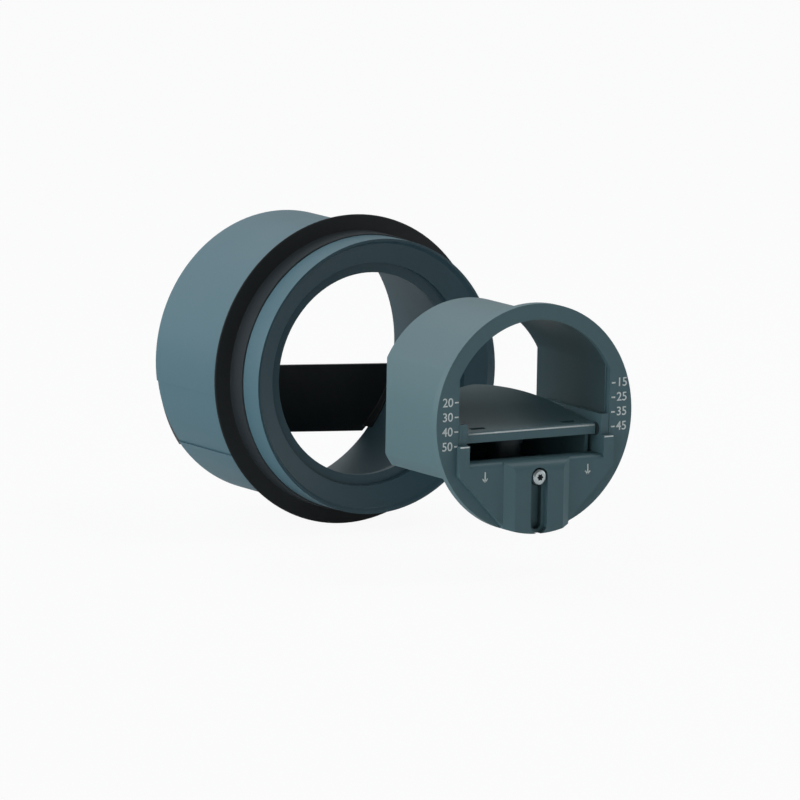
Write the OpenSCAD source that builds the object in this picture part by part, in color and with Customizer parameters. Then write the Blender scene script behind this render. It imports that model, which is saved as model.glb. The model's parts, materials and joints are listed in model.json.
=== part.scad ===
// Constant airflow regulator: a duct sleeve with a lip seal, and the regulating module that
// plugs into its front. The module is shown drawn out along the duct axis.
// The duct axis runs along Y, the front faces -Y and the side marked for down faces -Z.
// The origin is on the axis, at the shoulder where the spigot starts behind the seal.

/* [Sleeve] */
// Outer radius of the spigot that enters the duct
spigot_r = 48.3; // [47:0.1:52]
// Length of the spigot behind its shoulder
spigot_len = 45.7; // [38:0.1:60]
// Wall of the spigot
spigot_wall = 1.6; // [1.2:0.1:2]
// Step from the spigot down to the front collar
collar_step = 1.5; // [1:0.1:2]
// Length of the front collar
collar_len = 9.7; // [8:0.1:14]
// Length of the groove that holds the seal
groove_len = 9.6; // [8:0.1:12]
// Depth of the groove below the collar
groove_depth = 1.6; // [1.2:0.1:2]
// Wall of the sleeve under the groove
groove_wall = 1.8; // [1.4:0.1:2.4]
// Depth of the collar's rim at its inner side
rim_depth = 1.8; // [1.2:0.1:2.4]
// Thickness of the rim's front edge
rim_edge = 0.8; // [0.6:0.1:1.2]
// Depth of the funnel behind the rim
funnel_depth = 3.4; // [2.4:0.1:4]
// Depth of the seat that takes the module's plate
seat_depth = 1.8; // [1.4:0.1:2.4]
// Thickness of the ledge behind the seat
ledge_t = 2; // [1.5:0.1:3]
// Depth of the two flats along the spigot's sides
side_flat_depth = 0.4; // [0.2:0.1:0.6]
// Depth of the notches in the rear rim
notch_depth = 2.5; // [2:0.1:4]

/* [Seal] */
// How far the seal's lip stands out beyond the spigot
lip_h = 4.5; // [3.7:0.1:7.7]
// Thickness of the lip
lip_t = 0.9; // [0.7:0.1:1.2]
// How far the lip's edge leans back
lip_lean = 0.9; // [0.5:0.1:1.5]

/* [Strap] */
// Top edge of the rear strap below the axis
strap_top = 7.4; // [7.3:0.1:10]
// Height of the strap
strap_h = 23.2; // [16:0.1:24]
// Thickness of the strap
strap_t = 1.8; // [1.4:0.1:2.4]
// How far the strap bows out behind the rear rim
strap_bow = 12; // [8:0.5:16]

/* [Module] */
// Radius of the front plate
plate_r = 38; // [37:0.1:39]
// Thickness of the front plate
plate_t = 3; // [2.5:0.1:4]
// Radius of the airway shell's roof
shell_r = 34.2; // [33.8:0.1:34.8]
// Half width between the shell's flat sides, outside
shell_half_w = 30.2; // [29.8:0.1:30.6]
// Depth of the shell's floor below the axis
shell_floor = 20.2; // [20:0.1:22]
// Wall of the airway shell
shell_wall = 1.5; // [1.2:0.1:1.6]
// Length from the plate's face to the shell's open end
module_len = 44.2; // [42:0.1:50]
// How far the sides of the plate's opening stand outside the shell's inner walls
opening_step = 0.6; // [0.4:0.1:0.8]
// Lower edge of the plate's opening below the axis
opening_drop = 16; // [15.9:0.1:16.4]
// How far the module stands out in front of its seat
withdrawn = 102.7; // [90:0.1:120]

/* [Slider] */
// Travel of the slider
slider_travel = 14.5; // [12:0.1:14.5]
// Thickness of the slider plate
slider_t = 1.9; // [1.6:0.1:2.2]
// Half width of the slider plate
slider_half_w = 30; // [29.6:0.1:31]
// Depth of the slider's shoulders below the axis at its lowest
shoulder_drop = 7.4; // [7:0.1:8]
// Depth of the window's sill below the axis
sill_drop = 13.4; // [13:0.1:14]
// Depth at which the plate's sides turn inwards
side_drop = 17.4; // [17:0.1:20]
// Half width of the plate's foot
foot_half_w = 11.8; // [11:0.1:16]
// Half width of the raised block's front
block_half_w = 9.4; // [8:0.1:10]
// How far the block stands in front of the plate
block_h = 2; // [1.6:0.1:2.4]

/* [Clamp screw] */
// Radius of the screw's shank
screw_r = 1.45; // [1.2:0.05:1.6]
// Radius of the screw's head
head_r = 2.7; // [2.4:0.1:2.8]
// Height of the screw's head
head_h = 1.6; // [1.4:0.1:1.8]
// Radius of the washer
washer_r = 2.9; // [2.8:0.1:3.1]
// Thickness of the washer
washer_t = 0.5; // [0.3:0.1:0.6]
// Length of the boss behind the plate
boss_len = 6.5; // [5:0.1:8]
// Wall of the boss
boss_wall = 1.7; // [1.2:0.1:2]

/* [Blade] */
// Gap between the blade's sides and the carriage's cheeks
blade_side_gap = 1.1; // [1:0.1:3]
// Thickness of the carriage's cheeks
cheek_t = 1.9; // [1.8:0.1:2.4]
// Thickness of the blade
blade_t = 1.2; // [1:0.1:1.4]
// Reach of the blade's tip behind the plate's face
blade_reach = 38; // [34:0.1:38]
// Radius of the barrel along the blade's front
barrel_r = 1.5; // [1.4:0.05:1.7]
// Radius of the hinge pin
pin_r = 0.75; // [0.6:0.05:0.8]
// Distance of the hinge behind the plate's face
hinge_y = 3.2; // [3.1:0.1:3.4]
// Depth of the hinge below the axis at the slider's lowest
hinge_drop = 5.6; // [5.4:0.1:5.8]

/* [Damper] */
// Distance of the damper behind the plate's face
damper_y = 18.5; // [18:0.1:21]
// Bore radius of the damper's cylinder
damper_bore_r = 4.5; // [4:0.1:5]
// Wall of the damper's cylinder
damper_wall = 1; // [0.8:0.1:1.2]
// Radius of the piston's rod
rod_r = 0.8; // [0.7:0.05:1]
// Thickness of the piston
piston_t = 1.4; // [1.2:0.1:1.6]
// Radius of the spring's wire
spring_wire_r = 0.18; // [0.15:0.01:0.2]
// Turns of the spring
spring_turns = 4; // [3:0.5:4.5]

/* [Fits] */
// Gap all round between pieces that are joined
seat_fit = 0.05; // [0.03:0.01:0.08]
// Radial gap between the module's shell and the sleeve's bore
bore_fit = 0.26; // [0.2:0.02:0.4]
// Radial gap of every pin and piston that runs in a bore
run_fit = 0.06; // [0.04:0.01:0.09]
// Gap between the sliding carriage and the shell's walls
slide_fit = 0.3; // [0.25:0.05:0.4]
// Gap between the slider plate and the front plate
face_gap = 0.1; // [0.05:0.01:0.15]

/* [Hidden] */
$fn = 96;

collar_r = spigot_r - collar_step;
groove_r = collar_r - groove_depth;
lip_r = spigot_r + lip_h;
groove_in_r = groove_r - groove_wall;
spigot_in_r = spigot_r - spigot_wall;
collar_y = -groove_len - collar_len;
rim_in_r = collar_r - rim_edge;
funnel_r = rim_in_r - 1;
funnel_y = collar_y + rim_depth;
seat_r = plate_r + seat_fit;
seat_front_y = funnel_y + funnel_depth;
seat_y = seat_front_y + seat_depth;
bore_r = shell_r + bore_fit;
ledge_back_y = seat_y + ledge_t;
step_back_y = 1.6;

// The flats and notches lie on the same stretch of the spigot's sides
flat_top = 7.3;
flat_bottom = 28.8;
foot_in_r = spigot_in_r - 0.5;
foot_out_r = spigot_in_r + 0.6;
strap_knee_x = 27;
strap_flat_x = 8;

module_y = seat_y - plate_t - withdrawn;
shell_in_r = shell_r - shell_wall;
shell_in_w = shell_half_w - shell_wall;
shell_in_floor = shell_floor - shell_wall;
shell_socket = 1;
opening_r = shell_in_r;
opening_half_w = shell_in_w + opening_step;

slider_back = -face_gap;
slider_front = slider_back - slider_t;
block_front = slider_front - block_h;
block_slope = 3.4;
sill_r = 2;
screw_z = -19.2;
slot_spare = 1.2;
slot_end = screw_z - slider_travel - slot_spare;
slot_half_w = screw_r + 0.45;
seat_half_w = washer_r + 0.3;
slot_floor = slider_front - 0.1;
washer_back = slot_floor - seat_fit;
washer_front = washer_back - washer_t;
head_back = washer_front - seat_fit;
head_front = head_back - head_h;
boss_r = screw_r + run_fit + boss_wall;

cheek_rib_h = 0.4;
cheek_out = shell_in_w - slide_fit - cheek_rib_h;
cheek_in = cheek_out - cheek_t;
cheek_top = -0.4;
window_half_w = cheek_in;
blade_half_w = cheek_in - blade_side_gap;
carriage_back = 38;
tub_wall = 1.2;
tub_inset = 0.6;
carriage_front = plate_t + 0.4;
floor_t = 1.2;
carriage_floor = -shell_in_floor + slide_fit + 0.1;
floor_top = carriage_floor + floor_t;
sill_back = carriage_front - 0.1;
tab_depth = 0.6;
tab_in = cheek_in + 0.8;
tab_w = cheek_t - 1.1;

hinge_z = -hinge_drop;
bush_r = pin_r + run_fit + 0.7;
flange_r = bush_r + 0.7;
flange_t = 0.6;
pad_t = 0.5;
pad_y = 15;

damper_r = damper_bore_r + damper_wall;
cap_t = 1.2;
cap_top = hinge_z - 2.05;
cylinder_top = cap_top - cap_t;
cylinder_floor = carriage_floor + 1.2;
piston_base = cylinder_floor + 0.1;
piston_top = piston_base + piston_t;
piston_r = damper_bore_r - run_fit;
eye_r = pin_r + run_fit + 0.9;
eye_half_w = 1.5;
ear_in = 2;
ear_t = 1.2;
slot_run = 1;
slot_r = pin_r + 0.17;

// Extrudes an X-Z outline between two places along the duct axis
module along_y(y0, y1) {
    translate([0, y1, 0])
        rotate([90, 0, 0])
            linear_extrude(y1 - y0)
                children();
}

// Extrudes a Y-Z outline across the module
module along_x(x0, x1) {
    translate([x0, 0, 0])
        rotate([90, 0, 90])
            linear_extrude(x1 - x0)
                children();
}

// Extrudes an X-Y outline upwards
module along_z(z0, z1) {
    translate([0, 0, z0])
        linear_extrude(z1 - z0)
            children();
}

// Revolves a radius-Y outline about the duct axis
module about_y() {
    rotate([-90, 0, 0])
        rotate_extrude($fn = 144)
            children();
}

module rod_x(r, x0, x1, y, z) {
    translate([x0, y, z])
        rotate([0, 90, 0])
            cylinder(r = r, h = x1 - x0, $fn = 48);
}

module rod_y(r, y0, y1, z) {
    translate([0, y0, z])
        rotate([-90, 0, 0])
            cylinder(r = r, h = y1 - y0, $fn = 48);
}

module rod_z(r, z0, z1, y) {
    translate([0, y, z0])
        cylinder(r = r, h = z1 - z0, $fn = 64);
}

// Copies its children to the other side of the middle plane
module both_sides() {
    children();
    mirror([1, 0, 0])
        children();
}

// Moves its children from the module's own frame to where the module stands
module in_module() {
    translate([0, module_y, 0])
        children();
}

// Upright slot outline between two centres, one under the other
module slot_outline(r, z_top, z_bottom) {
    translate([0, z_top])
        circle(r, $fn = 48);
    translate([0, z_bottom])
        circle(r, $fn = 48);
    translate([-r, z_bottom])
        square([2 * r, z_top - z_bottom]);
}

// D-shaped outline: a circle with two flat sides and a flat floor
module d_outline(r, half_w, floor_drop) {
    intersection() {
        circle(r, $fn = 144);
        translate([-half_w, -floor_drop])
            square([2 * half_w, floor_drop + r + 1]);
    }
}

function bezier(a, b, c, d, t) =
    pow(1 - t, 3) * a + 3 * pow(1 - t, 2) * t * b + 3 * (1 - t) * t * t * c + pow(t, 3) * d;

module sleeve_profile() {
    polygon([
        [rim_in_r, collar_y],
        [collar_r, collar_y],
        [collar_r, -groove_len],
        [groove_r, -groove_len],
        [groove_r, 0],
        [spigot_r, 0],
        [spigot_r, spigot_len],
        [spigot_in_r, spigot_len],
        [spigot_in_r, step_back_y],
        [groove_in_r, step_back_y],
        [groove_in_r, ledge_back_y - 1],
        [groove_in_r - 3, ledge_back_y],
        [bore_r, ledge_back_y],
        [bore_r, seat_y],
        [seat_r, seat_y],
        [seat_r, seat_front_y],
        [funnel_r, funnel_y]
    ]);
}

// Ring sector on both sides between the flats' top and bottom
module side_sector(r_in, r_out, y0, y1, grow) {
    intersection() {
        about_y()
            translate([r_in, y0])
                square([r_out - r_in, y1 - y0]);
        translate([-r_out - 1, y0 - 1, -flat_bottom - grow])
            cube([2 * r_out + 2, y1 - y0 + 2, flat_bottom - flat_top + 2 * grow]);
    }
}

module sleeve_body() {
    color("#6f848b")
        difference() {
            about_y()
                sleeve_profile();
            side_sector(spigot_r - side_flat_depth, spigot_r + 1, 0.6, spigot_len + 1, 0);
            side_sector(spigot_in_r - 1, foot_out_r + seat_fit, spigot_len - notch_depth, spigot_len + 1, 0);
        }
}

module lip_seal() {
    hub_in = groove_r + seat_fit;
    hub_out = collar_r + 0.5;
    color("#101619")
        about_y()
            polygon([
                [hub_in, -groove_len + seat_fit],
                [hub_out - 0.3, -groove_len + seat_fit],
                [hub_out, -groove_len + 0.4],
                [hub_out, -2.1],
                [hub_out + 0.4, -2],
                [lip_r - 0.3, -2 + lip_lean],
                [lip_r, -1.6 + lip_lean],
                [lip_r - 0.3, -2 + lip_lean + lip_t],
                [hub_out + 0.4, -1.9 + lip_t],
                [hub_out, -seat_fit],
                [hub_in, -seat_fit]
            ]);
}

// Plan of the strap: a flat middle, two knees and two feet
function strap_line(y_shift) = [
    [-spigot_r, spigot_len - 1.7 + y_shift],
    [-strap_knee_x, spigot_len + 0.45 * strap_bow + y_shift],
    [-strap_flat_x, spigot_len + strap_bow + y_shift],
    [strap_flat_x, spigot_len + strap_bow + y_shift],
    [strap_knee_x, spigot_len + 0.45 * strap_bow + y_shift],
    [spigot_r, spigot_len - 1.7 + y_shift]
];

function reversed(list) = [for (i = [len(list) - 1 : -1 : 0]) list[i]];

module rear_strap() {
    notch_y = spigot_len - notch_depth + seat_fit;
    color("#15191b") {
        intersection() {
            along_z(-strap_top - strap_h, -strap_top)
                polygon(concat(strap_line(0), reversed(strap_line(strap_t))));
            rod_y(foot_out_r, spigot_len - 6, spigot_len + strap_bow + strap_t + 1, 0);
            union() {
                rod_y(foot_in_r, spigot_len - 6, spigot_len + strap_bow + strap_t + 1, 0);
                translate([-spigot_r, notch_y, -spigot_r])
                    cube([2 * spigot_r, 2 * strap_bow, 2 * spigot_r]);
            }
        }
        intersection() {
            side_sector(foot_in_r, foot_out_r, notch_y, spigot_len + strap_bow, -seat_fit);
            along_z(-flat_bottom, -strap_top)
                polygon(concat([[-spigot_r, notch_y]], strap_line(0.2), [[spigot_r, notch_y]]));
        }
    }
}

module face_plate() {
    color("#5f747b")
        in_module()
            difference() {
                union() {
                    along_y(0, plate_t)
                        circle(plate_r, $fn = 144);
                    rod_y(boss_r, plate_t - 0.5, plate_t + boss_len, screw_z);
                }
                along_y(-1, plate_t + 1)
                    d_outline(opening_r, opening_half_w, opening_drop);
                along_y(plate_t - shell_socket, plate_t + 0.5)
                    difference() {
                        d_outline(shell_r + seat_fit, shell_half_w + seat_fit, shell_floor + seat_fit);
                        d_outline(shell_in_r - seat_fit, shell_in_w - seat_fit, shell_in_floor - seat_fit);
                        translate([-boss_r - 1, -boss_r + screw_z])
                            square([2 * boss_r + 2, 2 * boss_r]);
                    }
                rod_y(screw_r + run_fit, -1, plate_t + boss_len + 1, screw_z);
            }
}

module airway_shell() {
    notch_half_w = boss_r + 1.1;
    color("#6f848b")
        in_module()
            difference() {
                along_y(plate_t - shell_socket + seat_fit, module_len)
                    difference() {
                        d_outline(shell_r, shell_half_w, shell_floor);
                        d_outline(shell_in_r, shell_in_w, shell_in_floor);
                    }
                translate([-notch_half_w, 0, -shell_floor - 1])
                    cube([2 * notch_half_w, plate_t + boss_len + 0.5, shell_wall + 2]);
            }
}

module six_lobe(r) {
    circle(r * 0.72, $fn = 36);
    for (turn = [0 : 60 : 300])
        rotate(turn)
            translate([r * 0.72, 0])
                circle(r * 0.28, $fn = 24);
}

module clamp_screw() {
    color("#c9d0d2")
        in_module()
            translate([0, 0, screw_z])
                difference() {
                    about_y()
                        polygon([
                            [0, head_front],
                            [head_r * 0.72, head_front],
                            [head_r * 0.9, head_front + head_h * 0.2],
                            [head_r, head_front + head_h * 0.5],
                            [head_r, head_back],
                            [screw_r, head_back],
                            [screw_r, plate_t + boss_len - 1.2],
                            [screw_r * 0.6, plate_t + boss_len - 0.4],
                            [0, plate_t + boss_len - 0.4]
                        ]);
                    along_y(head_front - 1, head_front + head_h * 0.65)
                        six_lobe(1.15);
                }
}

module screw_washer() {
    color("#b4bcbe")
        in_module()
            along_y(washer_front, washer_back)
                translate([0, screw_z])
                    difference() {
                        circle(washer_r, $fn = 64);
                        circle(screw_r + run_fit, $fn = 48);
                    }
}

// Front outline of the slider plate, with its window up to the rounded sill
module slider_outline() {
    foot_z = -sqrt(plate_r * plate_r - foot_half_w * foot_half_w);
    intersection() {
        circle(plate_r, $fn = 144);
        polygon([
            [-slider_half_w, -shoulder_drop],
            [-window_half_w, -shoulder_drop],
            [-window_half_w, -sill_drop - sill_r],
            [window_half_w, -sill_drop - sill_r],
            [window_half_w, -shoulder_drop],
            [slider_half_w, -shoulder_drop],
            [slider_half_w, -side_drop],
            [foot_half_w, foot_z],
            [foot_half_w, -plate_r - 1],
            [-foot_half_w, -plate_r - 1],
            [-foot_half_w, foot_z],
            [-slider_half_w, -side_drop]
        ]);
    }
}

module slider_sill() {
    along_x(-window_half_w, window_half_w)
        intersection() {
            union() {
                translate([slider_front + sill_r, -sill_drop - sill_r])
                    circle(sill_r, $fn = 64);
                translate([slider_front + sill_r, -sill_drop - sill_r])
                    square([sill_back - slider_front - sill_r, sill_r]);
            }
            translate([slider_front - 1, -sill_drop - sill_r])
                square([sill_back - slider_front + 2, sill_r + 1]);
        }
}

// The raised block: slanted sides, and a top that rolls over into the sill
module slider_block() {
    roll_r = -block_front;
    base = block_half_w + block_slope;
    intersection() {
        along_z(-plate_r - 1, -sill_drop)
            polygon([
                [-base, slider_front],
                [-block_half_w, block_front],
                [block_half_w, block_front],
                [base, slider_front],
                [base, slider_back],
                [-base, slider_back]
            ]);
        along_x(-base - 1, base + 1)
            union() {
                translate([0, -sill_drop - roll_r])
                    circle(roll_r, $fn = 96);
                translate([-roll_r, -plate_r - 1])
                    square([roll_r + 1, plate_r + 1 - sill_drop - roll_r]);
            }
        along_y(block_front - 1, 1)
            circle(plate_r, $fn = 144);
    }
}

module slider_plate() {
    color("#5f747b")
        in_module()
            difference() {
                union() {
                    along_y(slider_front, slider_back)
                        slider_outline();
                    slider_sill();
                    slider_block();
                }
                along_y(block_front - 1, 1)
                    slot_outline(slot_half_w, screw_z, slot_end);
                along_y(block_front - 1, slot_floor)
                    slot_outline(seat_half_w, screw_z, slot_end);
                both_sides()
                    tab(seat_fit);
            }
}

// The tab on each cheek that plugs into the back of the slider plate
module tab(grow) {
    translate([tab_in - grow, slider_back - tab_depth - grow, -sill_drop + 0.4 - grow])
        cube([tab_w + 2 * grow, tab_depth + 0.5 + grow, sill_drop - shoulder_drop - 1.4 + 2 * grow]);
}

// Tub under the blade: its wall follows the blade's plan and ends just below the blade
module tub() {
    top_gap = blade_t + 0.85;
    tub_front = hinge_y + barrel_r + 0.5;
    steps = [for (i = [0 : blade_steps]) i / blade_steps];
    difference() {
        intersection() {
            along_z(carriage_floor, blade_z0 + blade_rise)
                difference() {
                    blade_plan(tub_inset);
                    blade_plan(tub_inset + tub_wall);
                }
            along_x(-blade_half_w - 1, blade_half_w + 1)
                polygon(concat(
                    [[carriage_front, carriage_floor], [carriage_front, -sill_drop]],
                    [[tub_front, -sill_drop], [tub_front, blade_z0 - top_gap]],
                    [for (t = steps) if (blade_y(t) > tub_front) [blade_y(t), blade_z(t) - top_gap]],
                    [[blade_reach, carriage_floor]]
                ));
        }
        both_sides()
            translate([blade_half_w - 2.4, pad_y, ledge_top()])
                cube([3, 4, blade_rise]);
    }
}

module carriage() {
    wall_t = 1.2;
    color("#5f747b")
        in_module()
            difference() {
                intersection() {
                    union() {
                        both_sides() {
                            along_x(cheek_in, cheek_out)
                                cheek_outline();
                            for (y = [8, 28])
                                translate([cheek_out - 0.5, y, -shell_in_floor])
                                    cube([0.5 + cheek_rib_h, 3, shell_in_floor + cheek_top]);
                            translate([blade_half_w - 2.2, pad_y, ledge_top() - 1.2])
                                cube([cheek_in - blade_half_w + 2.7, 4, 1.2]);
                        }
                        translate([-cheek_in - 0.5, carriage_front, carriage_floor])
                            cube([2 * cheek_in + 1, carriage_back - carriage_front, floor_t]);
                        translate([-cheek_in - 0.5, carriage_front, carriage_floor])
                            cube([2 * cheek_in + 1, wall_t, -sill_drop - carriage_floor]);
                        translate([-cheek_in - 0.5, carriage_back - wall_t, carriage_floor])
                            cube([2 * cheek_in + 1, wall_t, 6]);
                        tub();
                    }
                    along_y(slider_back - 1, carriage_back + 1)
                        d_outline(shell_in_r - slide_fit, shell_in_w - slide_fit, shell_in_floor - slide_fit);
                }
                translate([-boss_r - 0.4, 0, carriage_floor - 1])
                    cube([2 * boss_r + 0.8, plate_t + boss_len + 0.6, boss_r + 0.4 + screw_z - carriage_floor + 1]);
                rod_z(damper_r + seat_fit, carriage_floor - 1, floor_top + 1, damper_y);
                both_sides()
                    rod_x(bush_r + seat_fit, cheek_in - 1, cheek_out + 1, hinge_y, hinge_z);
            }
    color("#5f747b")
        in_module()
            both_sides()
                tab(0);
}

// Side view of a cheek, which passes through the plate's opening at the front
module cheek_outline() {
    polygon([
        [slider_back, cheek_top],
        [carriage_back, cheek_top],
        [carriage_back, -shell_in_floor],
        [carriage_front, -shell_in_floor],
        [carriage_front, -opening_drop + 0.2],
        [slider_back, -opening_drop + 0.2]
    ]);
}

module hinge_pin() {
    color("#b4bcbe")
        in_module()
            rod_x(pin_r, -cheek_out, cheek_out, hinge_y, hinge_z);
}

module hinge_bushes() {
    color("#2b3438")
        in_module()
            both_sides()
                difference() {
                    union() {
                        rod_x(bush_r, cheek_in - flange_t, cheek_out, hinge_y, hinge_z);
                        rod_x(flange_r, cheek_in - flange_t, cheek_in - seat_fit, hinge_y, hinge_z);
                    }
                    rod_x(pin_r + run_fit, cheek_in - 2, cheek_out + 1, hinge_y, hinge_z);
                }
}

// Top of the blade over the distance behind the plate's face
blade_y0 = hinge_y + 1.4;
blade_z0 = hinge_z + 2.1;
blade_rise = 9.4;
blade_steps = 14;
lip_y = hinge_y - barrel_r;
function blade_y(t) = bezier(blade_y0, 0.41 * blade_reach + 2.4, 0.71 * blade_reach, blade_reach, t);
function blade_z(t) =
    bezier(blade_z0, blade_z0 + 0.07 * blade_rise, blade_z0 + 0.71 * blade_rise, blade_z0 + blade_rise, t);
function blade_top_z(y) = let (
        hits = [for (i = [0 : 40]) if (blade_y(i / 40) <= y) i / 40],
        t = len(hits) > 0 ? hits[len(hits) - 1] : 0
    ) blade_z(t);
function ledge_top() = blade_top_z(pad_y) - blade_t - 0.3 - pad_t;

// Strip that follows the blade's top at two depths below it
module blade_strip(top_gap, bottom_gap) {
    steps = [for (i = [0 : blade_steps]) i / blade_steps];
    polygon(concat(
        [for (t = steps) [blade_y(t), blade_z(t) - top_gap]],
        [for (t = reversed(steps)) [blade_y(t), blade_z(t) - bottom_gap]]
    ));
}

// Plan of the blade: straight sides that draw in to a rounded tongue
module blade_plan(inset = 0) {
    shoulder_y = 12;
    half_w = blade_half_w - inset;
    reach = blade_reach - inset;
    steps = [for (i = [0 : 16]) i / 16];
    edge = [for (t = steps) [
        bezier(half_w, half_w, 0.45 * half_w, 0, t),
        bezier(shoulder_y, 0.66 * reach, 0.96 * reach, reach, t)
    ]];
    polygon(concat(
        [[-half_w, 0], [half_w, 0]],
        edge,
        [for (p = reversed(edge)) if (p[0] > 0.001) [-p[0], p[1]]]
    ));
}

clip_x = 17.8;
clip_y = hinge_y + 3.6;
clip_w = 5.6;
clip_d = 2.2;
weight_half_w = 10;
weight_t = 1.8;
weight_d = 4.5;
weight_back = blade_reach - 7.5;
pad_half_w = 0.9;
pad_d = 3.2;

module blade() {
    color("#647a81")
        in_module()
            difference() {
                union() {
                    rod_x(barrel_r, -blade_half_w, blade_half_w, hinge_y, hinge_z);
                    intersection() {
                        along_x(-blade_half_w, blade_half_w)
                            union() {
                                blade_strip(0, blade_t);
                                polygon([
                                    [lip_y, hinge_z - barrel_r],
                                    [lip_y, blade_z0 - 0.3],
                                    [lip_y + 0.3, blade_z0],
                                    [blade_y0, blade_z0],
                                    [blade_y0 + 0.5, blade_z0 - blade_t],
                                    [hinge_y + barrel_r * 0.8, hinge_z],
                                    [hinge_y, hinge_z - barrel_r]
                                ]);
                            }
                        along_z(hinge_z - 5, hinge_z + 20)
                            blade_plan();
                    }
                }
                rod_x(pin_r + run_fit, -blade_half_w - 1, blade_half_w + 1, hinge_y, hinge_z);
                both_sides()
                    translate([clip_x - clip_w / 2, clip_y - clip_d / 2, hinge_z])
                        cube([clip_w, clip_d, blade_rise]);
            }
}

module drive_yoke() {
    leaf_t = 0.9;
    ear_back = damper_y + slot_run + slot_r + 0.9;
    ear_front = damper_y - slot_r - 0.9;
    color("#39464b")
        in_module()
            difference() {
                union() {
                    intersection() {
                        along_x(-clip_x - clip_w / 2, clip_x + clip_w / 2)
                            blade_strip(blade_t + seat_fit, blade_t + leaf_t);
                        along_z(hinge_z - barrel_r, blade_z0 + blade_rise)
                            union() {
                                translate([-clip_x - clip_w / 2, clip_y - 1.5])
                                    square([2 * clip_x + clip_w, 3.5]);
                                translate([-ear_in - ear_t, clip_y])
                                    square([2 * ear_in + 2 * ear_t, ear_back - clip_y]);
                            }
                    }
                    intersection() {
                        both_sides()
                            along_x(ear_in, ear_in + ear_t)
                                translate([ear_front, hinge_z - slot_r - 0.8])
                                    square([ear_back - ear_front, 10]);
                        along_x(-ear_in - ear_t - 1, ear_in + ear_t + 1)
                            blade_strip(blade_t + seat_fit, blade_t + 20);
                    }
                    intersection() {
                        both_sides()
                            translate([clip_x - clip_w / 2 + 0.2, clip_y - clip_d / 2 + 0.2, hinge_z])
                                cube([clip_w - 0.4, clip_d - 0.4, blade_rise]);
                        along_x(-clip_x - clip_w, clip_x + clip_w)
                            blade_strip(0.5, blade_t + leaf_t);
                    }
                }
                rod_x(slot_r, -damper_r, damper_r, damper_y, hinge_z);
                rod_x(slot_r, -damper_r, damper_r, damper_y + slot_run, hinge_z);
                translate([-damper_r, damper_y, hinge_z - slot_r])
                    cube([2 * damper_r, slot_run, 2 * slot_r]);
            }
}

module balance_weight() {
    color("#9aa3a6")
        in_module()
            intersection() {
                along_x(-weight_half_w, weight_half_w)
                    blade_strip(blade_t + seat_fit, blade_t + weight_t);
                along_z(hinge_z, blade_z0 + blade_rise)
                    translate([-weight_half_w, weight_back - weight_d])
                        square([2 * weight_half_w, weight_d]);
            }
}

module rest_pads() {
    color("#101619")
        in_module()
            both_sides()
                translate([blade_half_w - 0.2 - 2 * pad_half_w, pad_y + 0.4, ledge_top()])
                    cube([2 * pad_half_w, pad_d, pad_t]);
}

module damper_cylinder() {
    color("#39464b")
        in_module()
            difference() {
                union() {
                    rod_z(damper_r, carriage_floor, cylinder_top, damper_y);
                    rod_z(damper_r + 1.5, floor_top + seat_fit, floor_top + seat_fit + 0.8, damper_y);
                }
                rod_z(damper_bore_r, cylinder_floor, cylinder_top + 1, damper_y);
            }
}

module damper_cap() {
    skirt = 2;
    color("#2b3438")
        in_module()
            difference() {
                rod_z(damper_r + 0.75, cylinder_top - skirt, cap_top, damper_y);
                rod_z(damper_r + seat_fit, cylinder_top - skirt - 1, cylinder_top + seat_fit, damper_y);
                rod_z(rod_r + run_fit, cylinder_top - 1, cap_top + 1, damper_y);
            }
}

module piston() {
    color("#d8d6cc")
        in_module()
            difference() {
                rod_z(piston_r, piston_base, piston_top, damper_y);
                rod_z(rod_r + seat_fit, piston_base + 0.4, piston_top + 1, damper_y);
            }
}

module piston_rod() {
    color("#b4bcbe")
        in_module()
            difference() {
                union() {
                    rod_z(rod_r, piston_base + 0.4 + seat_fit, hinge_z, damper_y);
                    rod_x(eye_r, -eye_half_w, eye_half_w, damper_y, hinge_z);
                }
                rod_x(pin_r + run_fit, -eye_half_w - 1, eye_half_w + 1, damper_y, hinge_z);
            }
}

module rod_pin() {
    reach = ear_in + ear_t + 0.4;
    color("#b4bcbe")
        in_module()
            rod_x(pin_r, -reach, reach, damper_y, hinge_z);
}

// Conical spring: each turn lies inside the one below, so it closes almost flat
module return_spring() {
    sides = 6;
    steps_per_turn = 18;
    steps = floor(spring_turns * steps_per_turn);
    z0 = piston_top + spring_wire_r + 0.05;
    z1 = cylinder_top - spring_wire_r - 0.05;
    r0 = damper_bore_r - spring_wire_r - 0.5;
    r1 = rod_r + spring_wire_r + 0.5;
    rings = [for (i = [0 : steps]) let (
            turn = 360 * i / steps_per_turn,
            share = i / steps,
            radius = r0 + (r1 - r0) * share,
            height = z0 + (z1 - z0) * share
        )
        for (k = [0 : sides - 1]) let (
            side = 360 * k / sides,
            reach = radius + spring_wire_r * cos(side)
        ) [reach * cos(turn), damper_y + reach * sin(turn), height + spring_wire_r * sin(side)]];
    skin = [for (i = [0 : steps - 1], k = [0 : sides - 1]) let (
            next = (k + 1) % sides,
            a = i * sides
        ) [a + k, a + next, a + sides + next, a + sides + k]];
    first_end = [for (k = [sides - 1 : -1 : 0]) k];
    last_end = [for (k = [0 : sides - 1]) steps * sides + k];
    color("#c9d0d2")
        in_module()
            polyhedron(rings, concat(skin, [first_end, last_end]));
}

sleeve_body();
lip_seal();
rear_strap();
face_plate();
airway_shell();
clamp_screw();
screw_washer();
slider_plate();
carriage();
hinge_pin();
hinge_bushes();
rest_pads();
damper_cylinder();
damper_cap();
return_spring();
blade();
drive_yoke();
balance_weight();
piston();
piston_rod();
rod_pin();
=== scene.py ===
import json
import math

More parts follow.
